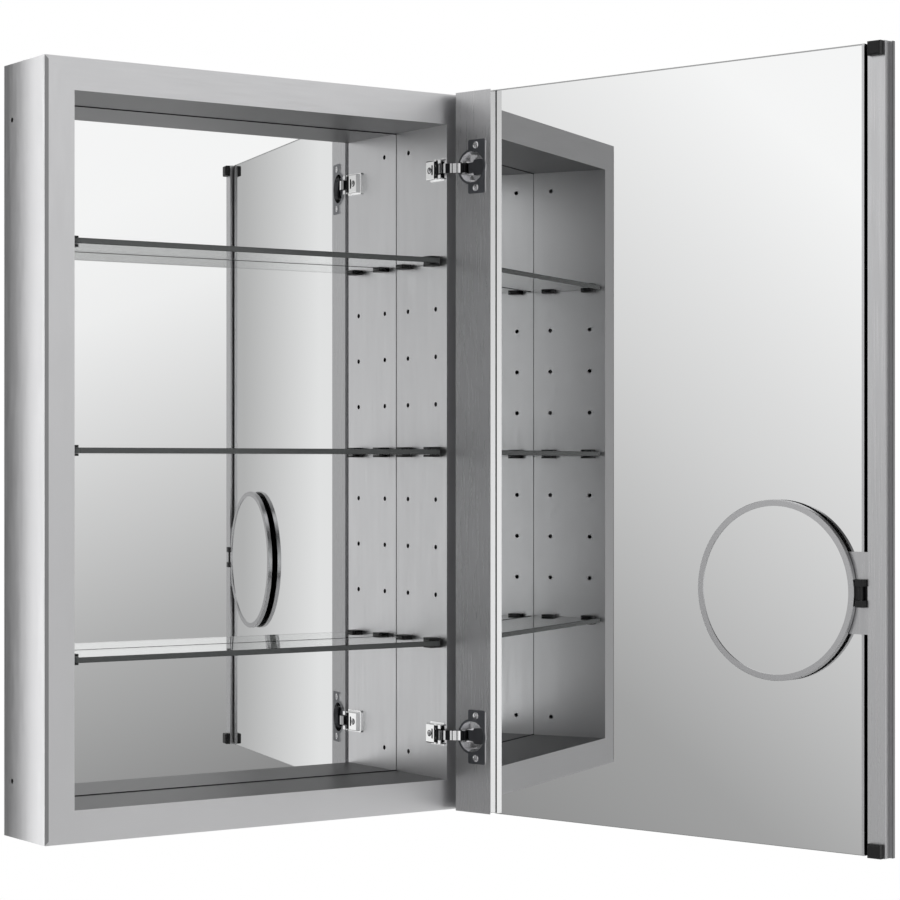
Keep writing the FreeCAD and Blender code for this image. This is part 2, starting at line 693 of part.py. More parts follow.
def slide_rail():
    """Edge extrusion: strip over the mirror, T-slot groove, raised box and finger lip."""
    floor = CORE_V
    outline = [
        (PANEL_END_U, floor),
        (DOOR_W, floor),
        (DOOR_W, -PULL_LIP_DROP),
        (RAIL_TO_U, -PULL_LIP_DROP),
        (RAIL_TO_U, RAIL_RISE),
        (RAIL_FROM_U, RAIL_RISE),
        (RAIL_FROM_U, -GROOVE_MOUTH_DROP),
        (RAIL_FROM_U + RAIL_SKIN, -GROOVE_MOUTH_DROP),
        (RAIL_FROM_U + RAIL_SKIN, RAIL_RISE - RAIL_SKIN),
        (RAIL_TO_U - RAIL_SKIN, RAIL_RISE - RAIL_SKIN),
        (RAIL_TO_U - RAIL_SKIN, floor + RAIL_SKIN),
        (GROOVE_FROM_U, floor + RAIL_SKIN),
        (GROOVE_FROM_U, STRIP_T),
        (PANEL_END_U - STRIP_LAP, STRIP_T),
        (PANEL_END_U - STRIP_LAP, 0),
        (PANEL_END_U, 0),
    ]
    points = [(at_door(u, v, 0).x, at_door(u, v, 0).y) for u, v in outline]
    rail = prism(points, -HALF_H, HALF_H)
    sockets = []
    for sz in (-1, 1):
        u = RAIL_FROM_U + RAIL_W / 2
        z = sz * (HALF_H - BUMPER_H / 2)
        sockets.append(rod(BUMPER_PEG_R, at_door(u, RAIL_RISE - RAIL_SKIN - 1, z),
                           at_door(u, RAIL_RISE + 1, z)))
    return rail.cut(sockets)


def bumpers():
    """Rubber stops at both ends of the rail, pegged into its raised face."""
    stops = []
    v_top = STILE_RISE + DOOR_GAP - BUMPER_CLEAR
    u = RAIL_FROM_U + RAIL_W / 2
    for sz in (-1, 1):
        z = sz * (HALF_H - BUMPER_H / 2)
        body = door_block(u - BUMPER_W / 2, u + BUMPER_W / 2, RAIL_RISE, v_top,
                          z - BUMPER_H / 2, z + BUMPER_H / 2)
        rims = [edge for edge in body.Edges
                if edge.BoundBox.YLength < 0.01 and edge.CenterOfMass.y > INNER_MIRROR_Y + v_top - 1]
        body = body.makeFillet(BUMPER_ROUND, rims)
        peg = rod(BUMPER_PEG_R, at_door(u, RAIL_RISE - RAIL_SKIN - 0.8, z),
                  at_door(u, RAIL_RISE + 1, z))
        stops.append(joined(body, peg))
    return Part.makeCompound(stops)


# ---------------------------------------------------------------- magnifying mirror
def slider_plate():
    """Aluminium carrier that lies over the mirror's edge and the groove."""
    to_u = RAIL_FROM_U - GLIDE_CLEAR
    plate = door_block(to_u - CARRIER_W, to_u, CARRIER_FROM, CARRIER_FROM + CARRIER_T,
                       MAG_Z - CARRIER_H / 2, MAG_Z + CARRIER_H / 2)
    free_side = at_door(to_u - CARRIER_W, 0, 0).x
    corners = edges_along(plate, Vector(0, 1, 0), lambda p: abs(p.x - free_side) < 1)
    return plate.makeFillet(1.5, corners)


def slider_glide():
    """Plastic runner under the carrier; its foot hooks under the rail's raised box."""
    low = CORE_V + RAIL_SKIN + GLIDE_CLEAR
    neck = door_block(GROOVE_FROM_U + GLIDE_CLEAR, RAIL_FROM_U - GLIDE_CLEAR, low, CARRIER_FROM,
                      MAG_Z - GLIDE_H / 2, MAG_Z + GLIDE_H / 2)
    foot = door_block(GROOVE_FROM_U + GLIDE_CLEAR, RAIL_FROM_U + RAIL_SKIN + 3.0, low,
                      -GROOVE_MOUTH_DROP - GLIDE_CLEAR, MAG_Z - GLIDE_H / 2, MAG_Z + GLIDE_H / 2)
    return joined(neck, foot)


def swing_pin():
    half = BLOCK_H / 2 - 0.4
    return rod(SWING_PIN_R, at_door(SWING_PIN_U, SWING_PIN_RISE, MAG_Z - half),
               at_door(SWING_PIN_U, SWING_PIN_RISE, MAG_Z + half))


def pivot_block():
    """Clevis on the carrier that holds the magnifier's swing pin."""
    seat = CARRIER_FROM + CARRIER_T
    reach = SWING_PIN_BACK - GLIDE_CLEAR - 0.3
    z0 = MAG_Z - BLOCK_H / 2
    z1 = MAG_Z + BLOCK_H / 2
    foot = door_block(SWING_PIN_U - reach, SWING_PIN_U + reach, seat, SWING_PIN_RISE, z0, z1)
    crown = rod(reach - 0.1, at_door(SWING_PIN_U, SWING_PIN_RISE, z0),
                at_door(SWING_PIN_U, SWING_PIN_RISE, z1))
    under = door_block(0, DOOR_W, seat - 10, seat, z0 - 1, z1 + 1)
    top = STILE_RISE + DOOR_GAP - 0.8
    over = door_block(0, DOOR_W, top, top + 10, z0 - 1, z1 + 1)
    gap_floor = SWING_PIN_RISE - SWING_KNUCKLE_R - 0.3
    gap = door_block(SWING_PIN_U - 20, SWING_PIN_U + 20, gap_floor, top + 10,
                     z0 + BLOCK_CHEEK, z1 - BLOCK_CHEEK)
    return joined(foot, crown).cut([under, over, gap, swing_pin()])


def tongue_half_height():
    return BLOCK_H / 2 - BLOCK_CHEEK - SIDE_CLEAR


def magnifier_back():
    """Plastic back shell with the knuckle that turns on the swing pin."""
    centre_low = at_door(MAG_CENTRE_U, MAG_BACK_FROM, MAG_Z)
    centre_high = at_door(MAG_CENTRE_U, MAG_BACK_FROM + MAG_BACK_T, MAG_Z)
    disc = rod(MAG_R - MAG_SKIRT_T - MAG_SKIRT_CLEAR, centre_low, centre_high)
    rims = [edge for edge in disc.Edges
            if edge.CenterOfMass.y < centre_low.y + 0.1 and edge.Length > MAG_R]
    disc = disc.makeFillet(0.9, rims)
    half = tongue_half_height()
    tongue = door_block(MAG_CENTRE_U + MAG_R - MAG_SKIRT_T - 3.0, SWING_PIN_U,
                        SWING_PIN_RISE - SWING_KNUCKLE_R, MAG_BACK_FROM + MAG_BACK_T,
                        MAG_Z - half, MAG_Z + half)
    knuckle = rod(SWING_KNUCKLE_R, at_door(SWING_PIN_U, SWING_PIN_RISE, MAG_Z - half),
                  at_door(SWING_PIN_U, SWING_PIN_RISE, MAG_Z + half))
    bore = rod(SWING_PIN_R + PIN_CLEAR, at_door(SWING_PIN_U, SWING_PIN_RISE, MAG_Z - BLOCK_H),
               at_door(SWING_PIN_U, SWING_PIN_RISE, MAG_Z + BLOCK_H))
    return joined(disc, tongue, knuckle).cut(bore)


def magnifier_glass():
    low = MAG_BACK_FROM + MAG_BACK_T
    radius = MAG_R - MAG_FRAME_W / 2 - MAG_GLASS_CLEAR
    return rod(radius, at_door(MAG_CENTRE_U, low, MAG_Z),
               at_door(MAG_CENTRE_U, low + MAG_GLASS_T, MAG_Z))


def magnifier_ring():
    """Aluminium bezel over the glass's edge, with a skirt around the back shell."""
    low = MAG_BACK_FROM
    seat = low + MAG_BACK_T
    high = seat + MAG_RING_T
    outer = rod(MAG_R, at_door(MAG_CENTRE_U, low, MAG_Z), at_door(MAG_CENTRE_U, high, MAG_Z))
    rims = [edge for edge in outer.Edges
            if edge.CenterOfMass.y > INNER_MIRROR_Y + high - 0.1 and edge.Length > MAG_R]
    outer = outer.makeFillet(0.6, rims)
    window = rod(MAG_R - MAG_FRAME_W, at_door(MAG_CENTRE_U, low - 1, MAG_Z),
                 at_door(MAG_CENTRE_U, high + 1, MAG_Z))
    rebate = rod(MAG_R - MAG_FRAME_W / 2, at_door(MAG_CENTRE_U, low - 1, MAG_Z),
                 at_door(MAG_CENTRE_U, seat + MAG_GLASS_T, MAG_Z))
    inside = rod(MAG_R - MAG_SKIRT_T, at_door(MAG_CENTRE_U, low - 1, MAG_Z),
                 at_door(MAG_CENTRE_U, seat, MAG_Z))
    half = tongue_half_height() + SIDE_CLEAR
    doorway = door_block(MAG_CENTRE_U, SWING_PIN_U, low - 1, seat, MAG_Z - half, MAG_Z + half)
    return outer.cut([window, rebate, inside, doorway])


# ---------------------------------------------------------------- assembly
def cabinet_nodes():
    nodes = {
        "left_wall": side_wall(-1),
        "right_wall": side_wall(1),
        "top_wall": top_wall(),
        "bottom_wall": bottom_wall(),
        "corner_keys": corner_keys(),
        "back_pan": back_pan(),
        "back_mirror": back_mirror(),
        "hinge_plate_screws": plate_screws(),
        "hinge_cam_screws": cam_screws(),
        "hinge_base_pins": base_pins(),
    }
    for name, z in SHELF_Z.items():
        nodes["shelf_" + name] = glass_shelf(z)
        nodes["shelf_clips_" + name] = shelf_clips(z)
    for name, z in HINGE_HEIGHTS.items():
        nodes["hinge_plate_" + name] = hinge_plate(z)
        nodes["hinge_housing_" + name] = hinge_housing(z)
        nodes["hinge_arm_" + name] = hinge_arm(z)
    return nodes


def door_nodes():
    closed = {
        "door_front_mirror": front_mirror(),
        "door_core": door_core(),
        "door_inner_mirror": inner_mirror(),
        "door_hinge_stile": hinge_stile(),
        "door_slide_rail": slide_rail(),
        "rail_bumpers": bumpers(),
        "hinge_cup_screws": cup_screws(),
        "hinge_cup_pins": cup_pins(),
        "magnifier_slider_plate": slider_plate(),
        "magnifier_glide": slider_glide(),
        "magnifier_pivot_block": pivot_block(),
        "magnifier_pin": swing_pin(),
        "magnifier_back": magnifier_back(),
        "magnifier_mirror": magnifier_glass(),
        "magnifier_ring": magnifier_ring(),
    }
    for name, z in HINGE_HEIGHTS.items():
        closed["hinge_cup_" + name] = hinge_cup(z)
        closed["hinge_damper_" + name] = damper(z)
    return {name: door_opened(shape) for name, shape in closed.items()}


def main():
    os.makedirs("parts", exist_ok=True)
    for name, shape in {**cabinet_nodes(), **door_nodes()}.items():
        shape.exportStep("parts/" + name + ".step")
        print(name, len(shape.Solids), "solids", round(shape.Volume), "mm3", shape.isValid())


main()
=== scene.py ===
"""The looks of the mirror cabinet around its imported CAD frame: materials, added pieces, studio, camera.

Lengths are metres in the CAD frame: X to the right, Y towards the wall, Z up. The frame is packed with
the door open, so the door's directions are those of the open door.
"""

import json
import math

import bpy
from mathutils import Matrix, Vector


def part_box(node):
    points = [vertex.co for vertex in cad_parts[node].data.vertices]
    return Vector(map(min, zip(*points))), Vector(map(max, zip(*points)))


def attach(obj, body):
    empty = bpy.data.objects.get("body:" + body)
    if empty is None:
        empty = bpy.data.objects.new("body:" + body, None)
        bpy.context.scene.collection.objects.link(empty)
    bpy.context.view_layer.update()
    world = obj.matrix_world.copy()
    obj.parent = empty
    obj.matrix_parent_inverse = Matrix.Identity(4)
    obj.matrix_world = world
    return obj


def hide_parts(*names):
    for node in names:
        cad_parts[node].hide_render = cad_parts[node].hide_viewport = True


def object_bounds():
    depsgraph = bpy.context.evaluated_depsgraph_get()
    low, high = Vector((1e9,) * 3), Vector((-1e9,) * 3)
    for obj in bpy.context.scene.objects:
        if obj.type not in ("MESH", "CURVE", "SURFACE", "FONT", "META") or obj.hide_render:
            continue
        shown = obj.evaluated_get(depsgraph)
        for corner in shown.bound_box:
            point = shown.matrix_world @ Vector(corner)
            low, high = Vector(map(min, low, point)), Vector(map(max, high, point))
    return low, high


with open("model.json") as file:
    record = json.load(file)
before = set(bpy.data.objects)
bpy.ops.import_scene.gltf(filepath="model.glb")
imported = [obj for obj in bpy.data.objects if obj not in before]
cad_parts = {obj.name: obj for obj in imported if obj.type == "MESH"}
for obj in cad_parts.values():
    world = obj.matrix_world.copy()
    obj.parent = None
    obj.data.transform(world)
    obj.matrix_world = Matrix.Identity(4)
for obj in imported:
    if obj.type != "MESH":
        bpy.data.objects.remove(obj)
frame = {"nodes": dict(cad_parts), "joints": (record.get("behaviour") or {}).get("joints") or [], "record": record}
cad_box = [list(corner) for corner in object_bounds()]
nodes = frame["nodes"]
joints = {joint["name"]: joint for joint in frame["joints"]}

ALONG_X = (1.0, 0.0, 0.0)
ALONG_Y = (0.0, 1.0, 0.0)
ALONG_Z = (0.0, 0.0, 1.0)
SIDES = ("upper", "lower")

# ---------------------------------------------------------------- camera
CAMERA_PLACE = (-1.3566, -2.2910, -0.01645)
CAMERA_TURN = 33.457        # degrees to the right of straight at the cabinet
CAMERA_LENS = 101.35        # mm
CAMERA_SENSOR = 36.0        # mm
CAMERA_SHIFT = (0.1167, 0.0192)
CAMERA_FAR = 50.0


def add_camera():
    data = bpy.data.cameras.new("camera")
    data.lens = CAMERA_LENS
    data.sensor_width = CAMERA_SENSOR
    data.shift_x = CAMERA_SHIFT[0]
    data.shift_y = CAMERA_SHIFT[1]
    data.clip_end = CAMERA_FAR
    camera = bpy.data.objects.new("camera", data)
    camera.location = CAMERA_PLACE
    camera.rotation_euler = (math.radians(90), 0, math.radians(-CAMERA_TURN))
    bpy.context.collection.objects.link(camera)
    bpy.context.scene.camera = camera


# ---------------------------------------------------------------- shader helpers
NOISE_LOW = 0.3             # the part of a noise's range that a finish is spread over
NOISE_HIGH = 0.7
FACING = 0.7                # least share of a normal along a direction that faces that way


def grey(level):
    return (level, level, level)


def opaque(colour):
    """A colour as a socket takes it: three numbers get full alpha, and an output stays."""
    return (*colour, 1.0) if isinstance(colour, tuple) else colour


class Nodes:
    """Short calls for building one node tree."""

    def __init__(self, tree):
        self.tree = tree

    def add(self, kind, inputs=(), **settings):
        node = self.tree.nodes.new(kind)
        for name, value in settings.items():
            setattr(node, name, value)
        for name, value in dict(inputs).items():
            if isinstance(value, bpy.types.NodeSocket):
                self.tree.links.new(value, node.inputs[name])
            else:
                node.inputs[name].default_value = value
        return node

    def link(self, output, node, name):
        self.tree.links.new(output, node.inputs[name])

    def math(self, operation, a, b=0.0):
        return self.add("ShaderNodeMath", {0: a, 1: b}, operation=operation).outputs[0]

    def above(self, value, limit):
        return self.math("GREATER_THAN", value, limit)

    def below(self, value, limit):
        return self.math("LESS_THAN", value, limit)

    def between(self, value, low, high):
        return self.math("MULTIPLY", self.above(value, low), self.below(value, high))

    def clamp(self, value, reach):
        return self.add("ShaderNodeClamp", {"Value": value, "Min": -reach, "Max": reach}).outputs[0]

    def ranged(self, value, from_min, from_max, to_min, to_max):
        return self.add("ShaderNodeMapRange", {
            "Value": value, "From Min": from_min, "From Max": from_max,
            "To Min": to_min, "To Max": to_max}).outputs[0]

    def ramp(self, factor, stops):
        """Colour by a factor, through stops of (place, grey level)."""
        node = self.add("ShaderNodeValToRGB", {"Fac": factor})
        elements = node.color_ramp.elements
        while len(elements) < len(stops):
            elements.new(0.5)
        for element, (place, level) in zip(elements, stops):
            element.position = place
            element.color = opaque(grey(level))
        return node.outputs["Color"]

    def mix(self, factor, a, b):
        """Number a where the factor is 0, and b where it is 1."""
        return self.add("ShaderNodeMix", {"Factor": factor, 2: a, 3: b}, data_type="FLOAT").outputs[0]

    def blend(self, factor, a, b, blend_type="MIX"):
        """Colour a where the factor is 0, and b (or a times b) where it is 1."""
        return self.add("ShaderNodeMix", {"Factor": factor, 6: opaque(a), 7: opaque(b)},
                        data_type="RGBA", blend_type=blend_type).outputs[2]

    def coordinate(self, output):
        return self.add("ShaderNodeTexCoord").outputs[output]

    def measured(self, output, direction):
        """A texture coordinate along a direction: "Object" for places, "Normal" for tilts."""
        return self.add("ShaderNodeVectorMath", {0: self.coordinate(output), 1: direction},
                        operation="DOT_PRODUCT").outputs["Value"]

    def facing(self, direction):
        """1 where the surface looks along a direction."""
        return self.above(self.measured("Normal", direction), FACING)

    def noise(self, scale, detail):
        return self.add("ShaderNodeTexNoise", {
            "Vector": self.coordinate("Object"), "Scale": scale, "Detail": detail}).outputs["Fac"]

    def from_noise(self, noise, to_min, to_max):
        """A noise spread over a finish's range."""
        return self.ranged(noise, NOISE_LOW, NOISE_HIGH, to_min, to_max)


def material(name):
    made = bpy.data.materials.new(name)
    made.use_nodes = True
    made.node_tree.nodes.clear()
    kit = Nodes(made.node_tree)
    surface = kit.add("ShaderNodeBsdfPrincipled")
    output = kit.add("ShaderNodeOutputMaterial")
    kit.link(surface.outputs[0], output, "Surface")
    return made, kit, surface


# ---------------------------------------------------------------- finishes
UPRIGHT_LINES = (14.0, 14.0, 0.25)      # noise squeezed across metal drawn along Z
LEVEL_LINES = (0.25, 14.0, 14.0)        # and along X
EVEN_GRAIN = (20.0, 20.0, 20.0)         # the same in all directions
LINE_DETAIL = 6.0
LINE_NOISE_ROUGH = 0.65
METAL_BUMP = 0.0004         # how far the drawn lines stand out
METAL_CLOUDS = 9.0          # scale of the metal's slow change of tone
METAL_TONE = (0.97, 1.0)
PLASTIC_GRAIN = 900.0       # scale of the fine grain
PLASTIC_GRAIN_DEPTH = 0.08
PLASTIC_BUMP = 0.0003
PLASTIC_CLOUDS = 40.0
PLASTIC_TONE = (0.85, 1.1)
PLASTIC_SPREAD = 0.07
SILVER = (0.93, 0.935, 0.935)
SILVER_EDGE = (0.035, 0.045, 0.043)
SILVER_EDGE_ROUGH = 0.18
SILVER_HAZE = 0.012         # most roughness on a mirror's face
HAZE_SCALE = 3.0
HAZE_NOISE = (0.3, 0.8)     # the part of the noise that the haze is spread over
GLASS_FACING = 0.8          # least share of a normal along Z on a shelf's two faces
GLASS_GRINDING = 400.0      # scale of the marks on a ground edge
GLASS = (0.93, 0.955, 0.945)
GLASS_EDGE = (0.16, 0.17, 0.17)
GLASS_EDGE_CLEAR = 0.45
GLASS_EDGE_ROUGH = (0.12, 0.22)
GLASS_IOR = 1.5


def streaks(kit, stretch, scale):
    """Fine drawn lines: noise squeezed across the run of the metal."""
    mapped = kit.add("ShaderNodeMapping", {"Vector": kit.coordinate("Object"), "Scale": stretch})
    noise = kit.add("ShaderNodeTexNoise", {
        "Vector": mapped.outputs[0], "Scale": scale, "Detail": LINE_DETAIL,
        "Roughness": LINE_NOISE_ROUGH})
    return noise.outputs["Fac"]


def metal(name, colour, roughness, stretch, line_scale=60.0, line_depth=0.03, spread=0.06):
    """Satin metal whose roughness and bump follow fine drawn lines."""
    made, kit, surface = material(name)
    lines = streaks(kit, stretch, line_scale)
    tone = kit.from_noise(kit.noise(METAL_CLOUDS, 2.0), *METAL_TONE)
    kit.link(kit.blend(1.0, colour, tone, "MULTIPLY"), surface, "Base Color")
    kit.link(kit.from_noise(lines, roughness - spread, roughness + spread), surface, "Roughness")
    surface.inputs["Metallic"].default_value = 1.0
    bump = kit.add("ShaderNodeBump", {
        "Height": lines, "Strength": line_depth, "Distance": METAL_BUMP})
    kit.link(bump.outputs[0], surface, "Normal")
    return made


def plated(name, colour, roughness, grain_scale, grain_depth=0.05, spread=0.04):
    """Small plated or cast metal, with the same grain in all directions."""
    return metal(name, colour, roughness, EVEN_GRAIN, grain_scale, grain_depth, spread)


def mirror(name, face_direction):
    """Silvered glass: a clean mirror on its two faces and a dark polished edge elsewhere."""
    made, kit, surface = material(name)
    on_face = kit.above(kit.math("ABSOLUTE", kit.measured("Normal", face_direction)), FACING)
    kit.link(kit.blend(on_face, SILVER_EDGE, SILVER), surface, "Base Color")
    kit.link(on_face, surface, "Metallic")
    face_rough = kit.ranged(kit.noise(HAZE_SCALE, 3.0), *HAZE_NOISE, 0.0, SILVER_HAZE)
    kit.link(kit.mix(on_face, SILVER_EDGE_ROUGH, face_rough), surface, "Roughness")
    return made


def shelf_glass(name):
    """Clear float glass, tinted and dark along its polished edges."""
    made, kit, surface = material(name)
    on_face = kit.above(kit.math("ABSOLUTE", kit.measured("Normal", ALONG_Z)), GLASS_FACING)
    kit.link(kit.blend(on_face, GLASS_EDGE, GLASS), surface, "Base Color")
    edge_rough = kit.from_noise(kit.noise(GLASS_GRINDING, 2.0), *GLASS_EDGE_ROUGH)
    kit.link(kit.mix(on_face, edge_rough, 0.0), surface, "Roughness")
    kit.link(kit.mix(on_face, GLASS_EDGE_CLEAR, 1.0), surface, "Transmission Weight")
    surface.inputs["IOR"].default_value = GLASS_IOR
    return made


def plastic(name, colour, roughness):
    """Moulded plastic with a fine grain."""
    made, kit, surface = material(name)
    fine = kit.noise(PLASTIC_GRAIN, 3.0)
    tone = kit.from_noise(kit.noise(PLASTIC_CLOUDS, 2.0), *PLASTIC_TONE)
    kit.link(kit.blend(1.0, colour, tone, "MULTIPLY"), surface, "Base Color")
    rough = kit.from_noise(fine, roughness - PLASTIC_SPREAD, roughness + PLASTIC_SPREAD)
    kit.link(rough, surface, "Roughness")
    bump = kit.add("ShaderNodeBump", {
        "Height": fine, "Strength": PLASTIC_GRAIN_DEPTH, "Distance": PLASTIC_BUMP})
    kit.link(bump.outputs[0], surface, "Normal")
    return made


def shade_over(made, mask_of, colour, roughness):
    """Lay a second colour and roughness over a material where mask_of(kit) is 1: mostly painted light and shade,
    and the inner door mirror's real ground edges.
    """
    kit = Nodes(made.node_tree)
    surface = next(node for node in made.node_tree.nodes if node.type == "BSDF_PRINCIPLED")
    mask = mask_of(kit)
    base = surface.inputs["Base Color"].links[0].from_socket
    rough = surface.inputs["Roughness"].links[0].from_socket
    kit.link(kit.blend(mask, base, colour), surface, "Base Color")
    kit.link(kit.mix(mask, rough, roughness), surface, "Roughness")
    return made


# ---------------------------------------------------------------- the open door
def door_normal():
    """Outward from the open door's inner side: the closed direction turned by the door's travel."""
    swing = abs(joints["door_hinge"]["range_deg"][0])
    arm = abs(swing * frame["record"]["behaviour"]["couplings"][0]["ratio"])
    angle = math.radians(swing - arm)
    return (-math.sin(angle), math.cos(angle), 0.0)


DOOR_OUT = door_normal()
ALONG_DOOR = (-DOOR_OUT[1], DOOR_OUT[0], 0.0)       # from the hinge edge to the free edge


def span(name, direction):
    """Lowest and highest reach of a node's points along a direction."""
    reach = [Vector(direction).dot(vertex.co) for vertex in nodes[name].data.vertices]
    return min(reach), max(reach)


# ---------------------------------------------------------------- where painted light and shade lie, and the mirror's ground edges
BEVEL_TILT = (0.06, 0.6)    # share of a bevel's normal along X
OUTER_SKIN = 0.01           # the top and bottom walls' outside, not their inside
WING_DEPTH = 0.0003
LAST_EDGE_DEPTH = 0.0005
GROUND_TOP = 0.0014         # the door mirror's ground edges
GROUND_BOTTOM = 0.0007
GROOVE_OVER_FLOOR = 0.0004
GROOVE_UNDER_FACE = 0.0006
GROOVE_TO_EDGE = 0.006
ARM_PAINTED_SHADE_BANDS = (            # bands of painted shade in the hinge arm's gaps, as shares of the way between its two pins
    (-0.5, 0.10), (0.30, 0.35), (0.41, 0.56), (0.617, 0.645), (0.77, 0.80), (0.89, 1.3))


def painted_dark_reflection_on_bevel(kit):
    """The shallow bevel along an upright front edge, by its tilt, where the metal gets a painted dark reflection.
    """
    tilt = kit.math("ABSOLUTE", kit.measured("Normal", ALONG_X))
    return kit.between(tilt, *BEVEL_TILT)


def painted_shade_on_ceiling_and_floor(kit):
    """The ceiling and the floor of the cabinet, where the metal is darkened with painted shade."""
    height = kit.math("ABSOLUTE", kit.measured("Object", ALONG_Z))
    level = kit.above(kit.math("ABSOLUTE", kit.measured("Normal", ALONG_Z)), FACING)
    return kit.math("MULTIPLY", level, kit.below(height, cad_box[1][2] - OUTER_SKIN))


def painted_dark_reflection_on_wing(kit):
    """The hinge cup's flat wing plate, on the stile's face, where the nickel gets a painted dark reflection."""
    level = span("hinge_cup_upper", DOOR_OUT)[1] - WING_DEPTH
    return kit.math("MULTIPLY", kit.facing(DOOR_OUT), kit.above(kit.measured("Object", DOOR_OUT), level))


def painted_shade_in_arm_recesses(kit):
    """Painted shade in the gaps between the bright knuckles along the hinge arm."""
    ends = []
    for name in ("hinge_base_pins", "hinge_cup_pins"):
        low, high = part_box(name)
        ends.append(Vector(((low[0] + high[0]) / 2, (low[1] + high[1]) / 2, 0.0)))
    run = ends[1] - ends[0]
    start = ends[0].dot(run) / run.length_squared
    share = kit.math("SUBTRACT", kit.measured("Object", run / run.length_squared), start)
    bands = [kit.between(share, low, high) for low, high in ARM_PAINTED_SHADE_BANDS]
    mask = bands[0]
    for band in bands[1:]:
        mask = kit.math("MAXIMUM", mask, band)
    return mask


def painted_highlight_and_shade_on_free_edge(kit):
    """Faces towards the door's free edge: a painted highlight on the trim, painted shade on the rail."""
    return kit.facing(ALONG_DOOR)


def painted_shade_on_last_edge(kit):
    """The rail's outermost face, darkened with painted shade."""
    last = span("door_slide_rail", ALONG_DOOR)[1] - LAST_EDGE_DEPTH
    return kit.above(kit.measured("Object", ALONG_DOOR), last)


def on_ground_edge(kit):
    """The inner door mirror's ground edges, along its top and bottom."""
    low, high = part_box("door_inner_mirror")[0][2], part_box("door_inner_mirror")[1][2]
    height = kit.measured("Object", ALONG_Z)
    return kit.math("ADD", kit.above(height, high - GROUND_TOP), kit.below(height, low + GROUND_BOTTOM))


def painted_shade_in_groove(kit):
    """The slide groove's walls and floor, under the mirror's face, painted near black as shade."""
    depth = kit.measured("Object", DOOR_OUT)
    run = kit.measured("Object", ALONG_DOOR)
    face = span("door_inner_mirror", DOOR_OUT)[1]
    floor = span("door_slide_rail", DOOR_OUT)[0]
    free_edge = span("door_slide_rail", ALONG_DOOR)[1]
    low = kit.between(depth, floor + GROOVE_OVER_FLOOR, face - GROOVE_UNDER_FACE)
    return kit.math("MULTIPLY", low, kit.below(run, free_edge - GROOVE_TO_EDGE))


# ---------------------------------------------------------------- materials on the CAD nodes
def dress(finish, *names):
    for name in names:
        for slot in nodes[name].material_slots:
            slot.material = finish


def both(name):
    """The upper and the lower node of a hinge piece."""
    return [name + "_" + side for side in SIDES]


def dress_frame():
    upright = metal("satin_aluminium_upright_painted_bevel", (0.70, 0.70, 0.71), 0.34, UPRIGHT_LINES)
    level = metal("satin_aluminium_level_painted_shade", (0.70, 0.70, 0.71), 0.34, LEVEL_LINES)
    # painted dark reflection on the walls' upright front bevels
    dress(shade_over(upright, painted_dark_reflection_on_bevel, (0.34, 0.34, 0.345), 0.4), "left_wall", "right_wall")
    # painted shade on the inside of the cabinet's ceiling and floor
    dress(shade_over(level, painted_shade_on_ceiling_and_floor, (0.24, 0.24, 0.245), 0.45), "top_wall", "bottom_wall")
    dress(metal("pan_steel", (0.62, 0.63, 0.64), 0.42, (3.0, 3.0, 3.0), 30.0), "back_pan")
    dress(metal("key_casting", grey(0.5), 0.5, (5.0, 5.0, 5.0), 80.0), "corner_keys")
    dress(metal("core_sheet", (0.25, 0.25, 0.26), 0.4, (5.0, 5.0, 5.0), 80.0), "door_core")


def dress_trim():
    trim = metal("anodised_trim_painted_highlight", (0.61, 0.61, 0.62), 0.30, UPRIGHT_LINES)
    rail = metal("anodised_rail_painted_shade", (0.66, 0.66, 0.67), 0.30, UPRIGHT_LINES)
    spun = metal("spun_bezel", (0.60, 0.60, 0.61), 0.26, (6.0, 6.0, 6.0), line_depth=0.008, spread=0.02)
    # painted highlight on the stile's and slider plate's faces towards the free edge
    dress(shade_over(trim, painted_highlight_and_shade_on_free_edge, grey(0.93), 0.2), "door_hinge_stile", "magnifier_slider_plate")
    # painted shade on the rail's faces towards the free edge
    shade_over(rail, painted_highlight_and_shade_on_free_edge, (0.36, 0.36, 0.365), 0.4)
    # painted shade on the rail's outermost face
    shade_over(rail, painted_shade_on_last_edge, (0.13, 0.13, 0.133), 0.4)
    # painted shade, near black, in the rail's slide groove
    dress(shade_over(rail, painted_shade_in_groove, (0.012, 0.012, 0.013), 0.5), "door_slide_rail")
    dress(spun, "magnifier_ring")


def dress_glass():
    dress(mirror("back_silver", ALONG_Y), "back_mirror")
    dress(mirror("door_silver", DOOR_OUT), "door_front_mirror", "magnifier_mirror")
    inner = mirror("inner_silver", DOOR_OUT)
    dress(shade_over(inner, on_ground_edge, (0.48, 0.485, 0.485), 0.35), "door_inner_mirror")
    dress(shelf_glass("shelf_float_glass"), "shelf_upper", "shelf_middle", "shelf_lower")


def dress_plastic():
    dress(plastic("clip_black", (0.007, 0.007, 0.008), 0.42), "shelf_clips_upper",
          "shelf_clips_middle", "shelf_clips_lower", "magnifier_glide", "magnifier_pivot_block",
          "magnifier_back")
    dress(plastic("bumper_black", (0.007, 0.007, 0.008), 0.5), "rail_bumpers")


